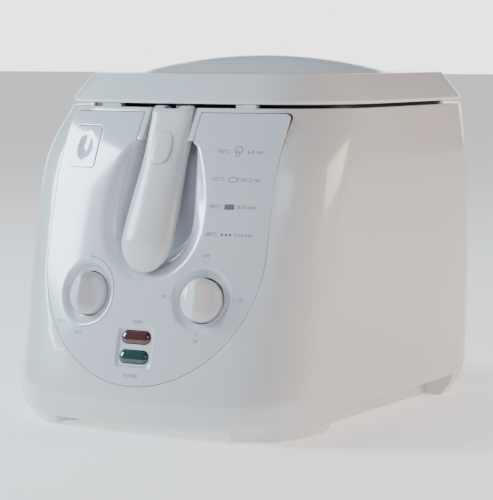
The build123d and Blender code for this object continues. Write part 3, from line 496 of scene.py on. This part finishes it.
lens_red = finish("red_lens", (0.11, 0.004, 0.003), 0.3, 0.10, peel=300, bump=0.0, coat=1.0, through=0.1)
lens_green = finish(
    "green_lens", (0.004, 0.055, 0.050), 0.3, 0.10, peel=300, bump=0.0, coat=1.0, through=0.1
)
for node, slot, material in (
    ("red_lens", "lens_red", lens_red), ("green_lens", "lens_green", lens_green),
):
    lens_low, lens_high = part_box(node)
    lens_z = (lens_low.z + lens_high.z) / 2
    bpy.ops.object.select_all(action="DESELECT")
    bpy.ops.mesh.primitive_grid_add(x_subdivisions=60, y_subdivisions=26, size=1.0)
    lens = bpy.context.object
    lens.name = node + "_cap"
    for vertex in lens.data.vertices:
        x = vertex.co.x * 2 * (LENS_HALF + 0.4 * MM)
        z = lens_z + vertex.co.y * 2 * (LENS_ROUND + 0.4 * MM)
        inward = LENS_ROUND - math.hypot(max(0.0, abs(x) - (LENS_HALF - LENS_ROUND)), z - lens_z)
        from_edge = min(1.0, max(0.0, inward / LENS_ROUND))
        dome = 2.2 * MM * math.sqrt(max(0.0, 1 - (1 - from_edge) ** 2))
        vertex.co = (x, front(x, z) + 1.9 * MM - dome, z)
    bpy.ops.object.mode_set(mode="EDIT")
    bpy.ops.mesh.select_all(action="SELECT")
    bpy.ops.mesh.extrude_region_move(TRANSFORM_OT_translate={"value": (0, 4 * MM, 0)})
    bpy.ops.mesh.select_all(action="SELECT")
    bpy.ops.mesh.normals_make_consistent(inside=False)
    bpy.ops.object.mode_set(mode="OBJECT")
    rim = round_rect(0, lens_z, LENS_HALF, LENS_ROUND, LENS_ROUND - 0.02 * MM)
    carve(lens, cutter("lens_edge", rim, -0.2, -0.08), "INTERSECT")
    bpy.ops.object.shade_smooth_by_angle(angle=math.radians(50))
    settle(lens, "housing", slot, material, node)

# ---------------------------------------------------------------- knobs
# Two moulded knobs on steel shafts. Each is a round cap with two scoops that leave a narrow grip
# ridge across it.


def knob_height(x, y, radius):
    """Height of the knob's face above its rim plane."""
    r = math.hypot(x, y) / radius
    flank = max(0.0, 1 - max(0.0, abs(x) - 1.6 * MM) / (13.0 * MM))
    ridge = 9.0 * MM * flank ** 2.1
    along = 1 - 0.30 * ramp(abs(y) / radius, 0.55, 1.0)
    crown = 0.8 * MM * (1 - r * r)
    fall = 1 - ramp(r, 0.90, 1.0) * 0.55
    return (ridge * along + crown) * fall + 0.6 * MM * (1 - ramp(r, 0.93, 1.0))


def make_knob(name, node, body, side):
    """A knob cap, turned and shaped flat, then set square to the panel at its place."""
    radius = 15.5 * MM
    bpy.ops.object.select_all(action="DESELECT")
    bpy.ops.mesh.primitive_cylinder_add(
        vertices=96, radius=radius, depth=9 * MM, location=(0, 0, -4.5 * MM)
    )
    cap = bpy.context.object
    cap.name = name
    bpy.ops.object.transform_apply(location=True)
    bpy.ops.object.mode_set(mode="EDIT")
    bpy.ops.mesh.select_all(action="DESELECT")
    shape = bmesh.from_edit_mesh(cap.data)
    for face in shape.faces:
        face.select = face.normal.z > 0.9
    bmesh.update_edit_mesh(cap.data)
    for _ in range(22):
        bpy.ops.mesh.inset(thickness=0.68 * MM, depth=0)
    bpy.ops.object.mode_set(mode="OBJECT")
    x = side * KNOB_X
    slope_x = x / math.sqrt(FRONT_BOW**2 - x * x)
    slope_z = (front_reach(KNOB_Z - MM) - front_reach(KNOB_Z + MM)) / (2 * MM)
    out = Vector((slope_x, -1, slope_z)).normalized()
    right = Vector((1, slope_x, 0)).normalized()
    up = out.cross(right)
    middle = Vector((x, front(x, KNOB_Z), KNOB_Z))
    for vertex in cap.data.vertices:
        px, py, pz = vertex.co
        if pz > -0.1 * MM:
            pz = knob_height(px, py, radius)
        vertex.co = middle + right * px + up * py + out * pz
    bevel = cap.modifiers.new("rim_round", "BEVEL")
    bevel.width = 0.7 * MM
    bevel.segments = 3
    bevel.limit_method = "ANGLE"
    bevel.angle_limit = math.radians(50)
    bpy.ops.object.modifier_apply(modifier=bevel.name)
    bpy.ops.object.shade_smooth_by_angle(angle=math.radians(40))
    settle(cap, body, "knob_white", knob_white, node)


knob_white = finish("white_knob", (0.66, 0.65, 0.65), 0.97, 0.20, bump=0.01, coat=0.3, through=0.03)
make_knob("thermostat_cap", "thermostat_knob", "thermostat", -1)
make_knob("timer_cap", "timer_knob", "timer", 1)

# ---------------------------------------------------------------- printed markings
# Fine grey pad printing on the panel: the thermostat's sweep, the timer's ticks and minutes, and plain
# time and temperature figures beside the recess. Each mark is a skin of ink lying on the surface.

ink = finish("grey_ink", (0.13, 0.13, 0.14), 0.9, 0.45, peel=1200, bump=0.05)
INK_HIGH = 0.06 * MM
marks = []


def lay_on_panel(mark):
    """Drop a flat mark, drawn in x and z, onto the panel's face."""
    for vertex in mark.data.vertices:
        vertex.co.y = panel_face(vertex.co.x, vertex.co.z) - INK_HIGH
    marks.append(mark)


def figure(text, x, z, tall):
    """A small printed figure, centred at a place on the panel."""
    bpy.ops.object.select_all(action="DESELECT")
    bpy.ops.object.text_add()
    words = bpy.context.object
    words.data.body = text
    words.data.size = tall * 1.4
    words.data.align_x = "CENTER"
    words.data.align_y = "CENTER"
    words.data.resolution_u = 3
    bpy.ops.object.convert(target="MESH")
    mark = bpy.context.object
    for vertex in mark.data.vertices:
        vertex.co = (x + vertex.co.x, 0.0, z + vertex.co.y)
    lay_on_panel(mark)


def stripe(points, width):
    """A printed line of even width along (x, z) points."""
    bpy.ops.object.select_all(action="DESELECT")
    bpy.ops.mesh.primitive_grid_add(x_subdivisions=len(points) - 1, y_subdivisions=1, size=1.0)
    mark = bpy.context.object
    count = len(points)
    for i, (x, z) in enumerate(points):
        ahead = points[min(i + 1, count - 1)]
        behind = points[max(i - 1, 0)]
        run = Vector((ahead[0] - behind[0], ahead[1] - behind[1])).normalized() * width / 2
        mark.data.vertices[i].co = (x + run.y, 0, z - run.x)
        mark.data.vertices[i + count].co = (x - run.y, 0, z + run.x)
    lay_on_panel(mark)


def dial_point(side, angle, reach):
    """A place round a knob, by clock angle in degrees from the top."""
    a = math.radians(angle)
    return side * KNOB_X + reach * math.sin(a), KNOB_Z + 1.0 * MM + reach * math.cos(a)


def tick(side, angle, inner, outer, width=0.5 * MM):
    """A short printed line that points at a knob's middle."""
    ends = [dial_point(side, angle, inner + (outer - inner) * i / 3) for i in range(4)]
    stripe(ends, width)


def filled(points):
    """A solid printed shape inside an outline of (x, z) points."""
    bpy.ops.object.select_all(action="DESELECT")
    bpy.ops.mesh.primitive_circle_add(vertices=len(points), fill_type="TRIFAN")
    mark = bpy.context.object
    for vertex, (x, z) in zip(mark.data.vertices, points):
        vertex.co = (x, 0, z)
    mark.data.vertices[len(points)].co = (
        sum(x for x, z in points) / len(points), 0, sum(z for x, z in points) / len(points),
    )
    lay_on_panel(mark)


SWEEP = 24.6 * MM
stripe([dial_point(-1, 180 * i / 60, SWEEP) for i in range(61)], 0.6 * MM)
tick(-1, 0, SWEEP - 1.2 * MM, SWEEP + 2.2 * MM)
tick(-1, 180, SWEEP - 0.3 * MM, SWEEP + 1.6 * MM)
figure("190°C", *dial_point(-1, 186, SWEEP + 5.0 * MM), 2.5 * MM)
figure("150°C", *dial_point(-1, 222, SWEEP + 5.6 * MM), 2.5 * MM)
for i, label in enumerate(("OFF", "", "10", "", "20", "", "30", "")):
    tick(1, 45 * i, SWEEP - 0.6 * MM, SWEEP + (1.0 if label else 0.2) * MM)
    if label:
        figure(label, *dial_point(1, 45 * i, SWEEP + 4.6 * MM), 2.6 * MM)
figure("TEMP", 0.0, 80.6 * MM, 2.5 * MM)
figure("POWER", 0.0, 43.5 * MM, 2.5 * MM)

# Four rows of a cooking guide, each a heat, a plain sign for the food and its minutes.
guide = (
    (200.6, "190°C", "6-8 min"),
    (181.4, "170°C", "10-12 min"),
    (162.6, "190°C", "8-10 min"),
    (143.4, "180°C", "5-10 min"),
)
for z, heat, minutes in guide:
    figure(heat, 49.6 * MM, z * MM, 2.7 * MM)
    figure(minutes, 73.6 * MM, z * MM, 2.7 * MM)
sign_x = 60.9 * MM
row = [z * MM for z, heat, minutes in guide]
stripe(arc(sign_x, row[0] + 0.8 * MM, 2.9 * MM, -20, 200, 20), 0.5 * MM)
brim = row[0] - 0.1 * MM
stripe([(sign_x - 2.7 * MM, brim), (sign_x + 2.7 * MM, brim)], 0.5 * MM)
stalk_foot = row[0] - 3.4 * MM
stripe([
    (sign_x - 1.1 * MM, row[0]),
    (sign_x - 1.1 * MM, stalk_foot),
    (sign_x + 1.1 * MM, stalk_foot),
    (sign_x + 1.1 * MM, row[0]),
], 0.5 * MM)
leaf = [(sign_x + x * 0.9, row[1] + (z - row[1]) * 0.45) for x, z in arc(0, row[1], 3.6 * MM, 0, 360, 28)]
stripe(leaf, 0.5 * MM)
stripe([(sign_x + 2.8 * MM, row[1]), (sign_x + 4.6 * MM, row[1] + 1.3 * MM)], 0.5 * MM)
filled(round_rect(sign_x, row[2], 3.7 * MM, 1.9 * MM, 0.4 * MM, 3))
for shift in (-3.0, 0.0, 3.0):
    filled(arc(sign_x + shift * MM, row[3], 0.95 * MM, 0, 330, 11))
bpy.ops.object.select_all(action="DESELECT")
for mark in marks:
    mark.select_set(True)
bpy.context.view_layer.objects.active = marks[0]
bpy.ops.object.join()
printing = bpy.context.object
printing.name = "panel_printing"
settle(printing, "housing", "panel_white", ink)

# ---------------------------------------------------------------- lid release button
# A square push button with an oval finger dish, sprung forwards, flush with the panel beside the
# handle. A hook arm behind it reaches up to the lid's catch.


def dished_button(x, z):
    """The button's face: proud of the panel, with an oval dish for the fingertip."""
    share = math.hypot((x - button_x) / (8.6 * MM), (z - button_z) / (11.6 * MM))
    return front(x, z) - 0.6 * MM + 1.5 * MM * (1 - ramp(share, 0.15, 1.0))


bpy.ops.object.select_all(action="DESELECT")
bpy.ops.mesh.primitive_grid_add(x_subdivisions=44, y_subdivisions=52, size=1.0)
button = bpy.context.object
button.name = "lid_button"
for vertex in button.data.vertices:
    x = button_x + vertex.co.x * 2 * (button_half_x + 0.3 * MM)
    z = button_z + vertex.co.y * 2 * (button_half_z + 0.3 * MM)
    vertex.co = (x, dished_button(x, z), z)
wall = button.modifiers.new("body", "SOLIDIFY")
wall.thickness = 6 * MM
wall.offset = -1.0
bpy.ops.object.modifier_apply(modifier=wall.name)
button_rim = round_rect(button_x, button_z, button_half_x, button_half_z, 3 * MM)
carve(button, cutter("button_edge", button_rim, -0.2, -0.08), "INTERSECT")
edge = button.modifiers.new("edge_round", "BEVEL")
edge.width = 0.7 * MM
edge.segments = 3
edge.limit_method = "ANGLE"
edge.angle_limit = math.radians(50)
bpy.ops.object.modifier_apply(modifier=edge.name)
bpy.ops.object.shade_smooth_by_angle(angle=math.radians(35))
settle(button, "release", "panel_white", panel_white, "lid_release_button")

# ---------------------------------------------------------------- basket handle
# A two-shell grip, full and rounded like a skittle, folded down into the recess. It hinges on a pin
# in its barrel, and carries an oval catch on its face.

pivot_low, pivot_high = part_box("handle_pivot_pin")
PIVOT = (pivot_low + pivot_high) / 2
BARREL = 8.4 * MM


def handle_half(z):
    """Half width and half thickness of the grip at a height."""
    foot = 115.0 * MM
    width = 20.2 * MM - 3.3 * MM * ramp(z, 140 * MM, 208 * MM)
    thick = 11.0 * MM - 2.6 * MM * ramp(z, 150 * MM, 212 * MM)
    t = min(1.0, max(0.0, (z - foot) / (23 * MM)))
    end = math.sqrt(max(0.0, 1 - (1 - t) ** 2))
    over = max(0.0, z - PIVOT.z) / BARREL
    crown = math.sqrt(max(0.0, 1 - over * over))
    return width * end * (1 - 0.07 * over**3), thick * (0.35 * t + 0.65 * end) * crown


def handle_middle(z):
    """Depth of the grip's centre line, which runs straight from its foot up to the pivot."""
    foot = 138 * MM
    if z <= foot:
        return front(0, z)
    t = min(1.0, (z - foot) / (PIVOT.z - foot))
    return front(0, foot) * (1 - t) + PIVOT.y * t


RING = 72
heights = [115.05 * MM + 23 * MM * (1 - math.cos(math.pi / 2 * i / 14)) for i in range(15)]
heights += [138.05 * MM + (PIVOT.z - 138.05 * MM) * i / 34 for i in range(1, 35)]
heights += [PIVOT.z + 0.995 * BARREL * math.sin(math.pi / 2 * i / 12) for i in range(1, 13)]
bpy.ops.object.select_all(action="DESELECT")
bpy.ops.mesh.primitive_circle_add(vertices=RING, radius=MM, fill_type="NOTHING")
grip = bpy.context.object
grip.name = "handle_grip"
bpy.ops.object.mode_set(mode="EDIT")
bpy.ops.mesh.select_all(action="SELECT")
for _ in heights[1:]:
    bpy.ops.mesh.extrude_edges_move(TRANSFORM_OT_translate={"value": (0, 0, MM)})
bpy.ops.object.mode_set(mode="OBJECT")
for i, vertex in enumerate(grip.data.vertices):
    z = heights[i // RING]
    half, thick = handle_half(z)
    a = 2 * math.pi * (i % RING) / RING
    square = 0.86 - 0.36 * ramp(z, 185 * MM, 218 * MM)
    cx = math.copysign(abs(math.cos(a)) ** square, math.cos(a))
    cy = math.copysign(abs(math.sin(a)) ** square, math.sin(a))
    vertex.co = (half * cx, handle_middle(z) + thick * cy, z)
bpy.ops.object.mode_set(mode="EDIT")
bpy.ops.mesh.select_all(action="DESELECT")
bpy.ops.mesh.select_non_manifold()
bpy.ops.mesh.fill_holes(sides=0)
bpy.ops.mesh.select_all(action="SELECT")
bpy.ops.mesh.normals_make_consistent(inside=False)
bpy.ops.object.mode_set(mode="OBJECT")
half = 6.6 * MM
carve(grip, cutter("tongue_slot", [
    (-half, PIVOT.z - 13 * MM), (half, PIVOT.z - 13 * MM), (half, 0.3), (-half, 0.3)
], PIVOT.y - BARREL + 3 * MM, 0.0), "DIFFERENCE")
catch_low, catch_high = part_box("handle_catch")
catch_z = (catch_low.z + catch_high.z) / 2 + 1.6 * MM
CATCH_X = 7.8 * MM
CATCH_TALL = 11.6 * MM


def pill_reach(a):
    """How far the catch's outline bulges beyond a plain oval, by angle."""
    return (abs(math.cos(a)) ** 2.7 + abs(math.sin(a)) ** 2.7) ** (-1 / 2.7)


oval = []
for i in range(56):
    a = 2 * math.pi * i / 56
    oval.append((
        (CATCH_X * pill_reach(a) + 0.35 * MM) * math.cos(a),
        catch_z + (CATCH_TALL * pill_reach(a) + 0.35 * MM) * math.sin(a),
    ))
carve(grip, cutter("catch_pocket", oval, -0.2, front(0, catch_z) + 3 * MM), "DIFFERENCE")
edge = grip.modifiers.new("edge_round", "BEVEL")
edge.width = 0.4 * MM
edge.segments = 2
edge.limit_method = "ANGLE"
edge.angle_limit = math.radians(55)
bpy.ops.object.modifier_apply(modifier=edge.name)
bpy.ops.object.shade_smooth_by_angle(angle=math.radians(40))
handle_white = finish("white_handle", (0.66, 0.645, 0.65), 0.96, 0.27, bump=0.02, coat=0.15, through=0.03)
settle(grip, "handle", "handle_white", handle_white, "handle_front_shell", "handle_rear_shell")

# The catch: an oval push piece that stands a little proud of the grip and unlocks the fold.
bpy.ops.object.select_all(action="DESELECT")
bpy.ops.mesh.primitive_uv_sphere_add(segments=56, ring_count=28, radius=1.0, rotation=(math.pi / 2, 0, 0))
catch = bpy.context.object
catch.name = "oval_catch"
bpy.ops.object.transform_apply(rotation=True)
for vertex in catch.data.vertices:
    cx, cy, cz = vertex.co
    bulge = pill_reach(math.atan2(cz, cx))
    z = catch_z + cz * CATCH_TALL * bulge
    face = handle_middle(z) - handle_half(z)[1]
    depth = face - 1.5 * MM * (-cy) ** 0.5 if cy < 0 else face + 7 * MM * cy
    vertex.co = (cx * CATCH_X * bulge, depth, z)
bpy.ops.object.shade_smooth_by_angle(angle=math.radians(50))
settle(catch, "catch", "handle_white", handle_white, "handle_catch")

# ---------------------------------------------------------------- lid
# A glossy cover with a sloping rim and a shallow round crown, an oval filter cover let into the crown,
# and an inner plate that carries the seal and the hinge knuckles.

lid_white = finish("white_lid", (0.70, 0.70, 0.70), 0.97, 0.17, bump=0.012, coat=0.6, through=0.03)
# The filter cover is the same white plastic as the lid; its blue tint is a painted reflection of the cool
# window light.
filter_painted_cool_reflection = finish(
    "filter_cover_painted_blue_reflection", (0.66, 0.71, 0.76), 0.97, 0.12, bump=0.008, coat=0.6, through=0.03
)
lid_shell = take_solid("lid_cover", "lid_shell", 1.1 * MM, segments=4, sharp=22)
settle(lid_shell, "lid", "lid_white", lid_white, "lid_cover")
filter_cap = take_solid("filter_cover", "filter_cap", 0.5 * MM)
settle(filter_cap, "lid", "lid_white", filter_painted_cool_reflection, "filter_cover")
inner_plastic = finish("natural_plastic", (0.62, 0.61, 0.57), 0.9, 0.45, peel=600, bump=0.06, through=0.02)
lid_inner = take_solid("lid_liner", "lid_inner_plate", 0.4 * MM)
settle(lid_inner, "lid", "inner_plastic", inner_plastic, "lid_liner")

# ---------------------------------------------------------------- basket
# Plated steel wire: a square-cornered cage of crossing wires under a stiff rim, hung from the handle's
# strap. The strap runs over the bowl's flange through a notch in the lid's seal.

basket_low, basket_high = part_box("basket_shell")
bright_wire = finish("bright_wire", (0.70, 0.70, 0.71), 0.85, 0.16, metal=1.0, peel=500, bump=0.03)
WIRE = 1.5 * MM
bpy.ops.object.select_all(action="DESELECT")
bpy.ops.mesh.primitive_cube_add(size=1.0)
cage = bpy.context.object
cage.name = "wire_basket"
size = basket_high - basket_low
cage.scale = (size.x - WIRE, size.y - WIRE, size.z - WIRE / 2)
cage.location = (basket_low + basket_high) / 2
bpy.ops.object.transform_apply(location=True, scale=True)
bpy.ops.object.mode_set(mode="EDIT")
bpy.ops.mesh.select_all(action="DESELECT")
shape = bmesh.from_edit_mesh(cage.data)
for face in shape.faces:
    face.select = face.normal.z > 0.9
bmesh.update_edit_mesh(cage.data)
bpy.ops.mesh.delete(type="FACE")
bpy.ops.object.mode_set(mode="OBJECT")
shape = bmesh.new()
shape.from_mesh(cage.data)
STEP = 8.5 * MM
for axis in range(3):
    low, high = basket_low[axis], basket_high[axis]
    count = int((high - low) / STEP)
    for i in range(1, count):
        at = [0.0, 0.0, 0.0]
        at[axis] = low + (high - low) * i / count
        normal = [0.0, 0.0, 0.0]
        normal[axis] = 1.0
        bmesh.ops.bisect_plane(shape, geom=shape.verts[:] + shape.edges[:] + shape.faces[:],
                               plane_co=at, plane_no=normal, dist=1e-6)
shape.to_mesh(cage.data)
shape.free()
wires = cage.modifiers.new("wires", "WIREFRAME")
wires.thickness = WIRE
wires.use_even_offset = False
bpy.context.view_layer.objects.active = cage
bpy.ops.object.modifier_apply(modifier=wires.name)
settle(cage, "basket", "basket_chrome", bright_wire, "basket_shell")
hoop = take_solid("basket_rim", "basket_hoop", 1.2 * MM)
settle(hoop, "basket", "basket_chrome", bright_wire, "basket_rim")
strap = take_solid("basket_bracket", "basket_strap", 0.5 * MM)
settle(strap, "basket", "basket_chrome", bright_wire, "basket_bracket")

# ---------------------------------------------------------------- carried-over pieces
# The bowl, heater, drives, seals and small hardware keep their CAD shapes and take the finish of the
# real stock: dark non-stick coating, plain aluminium, plated steel, phenolic, rubber and felt.

coated = finish("non_stick", (0.045, 0.045, 0.05), 0.8, 0.38, metal=0.3, peel=1400, bump=0.12)
plain_aluminium = finish("plain_aluminium", (0.66, 0.66, 0.67), 0.85, 0.38, metal=1.0, peel=500, bump=0.08)
phenolic = finish("phenolic", (0.02, 0.02, 0.02), 0.7, 0.5, peel=700, bump=0.1)
seal_rubber = finish("seal_rubber", (0.60, 0.60, 0.58), 0.9, 0.55, peel=900, bump=0.15)
mesh_metal = finish("knitted_metal", (0.5, 0.5, 0.5), 0.5, 0.45, metal=1.0, peel=260, bump=0.9)
felt = finish("charcoal_felt", (0.02, 0.02, 0.02), 0.5, 0.95, peel=380, bump=0.9)
lamp_glass = finish("lamp_glass", (0.9, 0.75, 0.65), 0.9, 0.08, peel=200, bump=0.0, clear=0.8)
by_slot = {
    "bowl_coated": coated, "cast_aluminium": plain_aluminium, "steel": plated_steel,
    "black_plastic": phenolic, "inner_plastic": inner_plastic, "seal_rubber": seal_rubber,
    "filter_metal": mesh_metal, "filter_carbon": felt, "lamp_glass": lamp_glass,
    "rubber_grey": foot_rubber, "basket_chrome": bright_wire,
}
for entry in frame["record"]["subparts"]:
    solid = frame["nodes"][entry["node"]]
    if not solid.hide_render:
        solid.data.materials.clear()
        solid.data.materials.append(by_slot[entry["material_slot"]])
